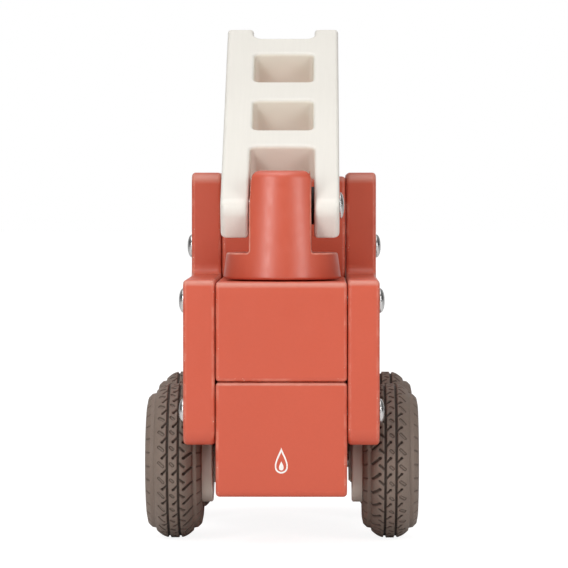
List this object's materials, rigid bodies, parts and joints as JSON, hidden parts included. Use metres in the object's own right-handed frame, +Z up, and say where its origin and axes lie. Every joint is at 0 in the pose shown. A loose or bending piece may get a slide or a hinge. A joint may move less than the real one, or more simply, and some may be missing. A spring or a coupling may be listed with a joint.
{
  "type": "toy fire engine",
  "caption": "Wooden toy fire engine with rolling rubber-tyred wheels, an open cab, a turning turret and a tilting ladder.",
  "frame": {"origin": "on the ground under the middle of the truck, at the bottom centre of its bounding box", "axes": "+Y forward, +X to the truck's right side, +Z up"},
  "size_m": [0.1228, 0.208, 0.2353],
  "materials": {
    "red_paint": "satin painted wood, warm brick red",
    "white_paint": "satin painted wood, warm off-white",
    "cream_hub": "smooth matt cream",
    "tyre_rubber": "matt taupe rubber",
    "steel": "polished steel",
    "brass": "plain turned brass",
    "nylon": "natural nylon",
    "black_nylon": "black nylon"
  },
  "bodies": {
    "chassis": {"chassis_block": "red_paint", "deck_block": "red_paint", "cab_rear_block": "red_paint", "cab_front_block": "red_paint", "cab_roof_block": "red_paint", "left_side_board": "red_paint", "right_side_board": "red_paint", "left_headlight": "white_paint", "right_headlight": "white_paint", "left_screw_rear_low": "steel", "left_screw_rear_high": "steel", "left_screw_cab_rear": "steel", "left_screw_front_low": "steel", "left_screw_front_high": "steel", "right_screw_rear_low": "steel", "right_screw_rear_high": "steel", "right_screw_cab_rear": "steel", "right_screw_front_low": "steel", "right_screw_front_high": "steel"},
    "turret": {"turret_post": "red_paint", "turret_bolt": "steel", "turret_insert": "brass", "turret_washer": "nylon"},
    "ladder": {"ladder": "white_paint", "ladder_bolt": "steel", "ladder_insert": "brass", "ladder_washer": "black_nylon"},
    "rear_wheelset": {"rear_axle": "steel", "rear_left_hub": "cream_hub", "rear_right_hub": "cream_hub", "rear_left_tyre": "tyre_rubber", "rear_right_tyre": "tyre_rubber", "rear_left_axle_cap": "steel", "rear_right_axle_cap": "steel"},
    "front_wheelset": {"front_axle": "steel", "front_left_hub": "cream_hub", "front_right_hub": "cream_hub", "front_left_tyre": "tyre_rubber", "front_right_tyre": "tyre_rubber", "front_left_axle_cap": "steel", "front_right_axle_cap": "steel"}
  },
  "joints": [
    {"name": "rear_wheels_roll", "type": "hinge", "parent": "chassis", "child": "rear_wheelset", "pos_m": [0, -0.052, 0.035], "axis": [1, 0, 0], "continuous": true},
    {"name": "front_wheels_roll", "type": "hinge", "parent": "chassis", "child": "front_wheelset", "pos_m": [0, 0.052, 0.035], "axis": [1, 0, 0], "continuous": true},
    {"name": "turret_turn", "type": "hinge", "parent": "chassis", "child": "turret", "pos_m": [0, -0.072, 0.1182], "axis": [0, 0, 1], "continuous": true},
    {"name": "ladder_tilt", "type": "hinge", "parent": "turret", "child": "ladder", "pos_m": [0, -0.072, 0.1511], "axis": [1, 0, 0], "range_deg": [-11.5, 126.7]}
  ]
}
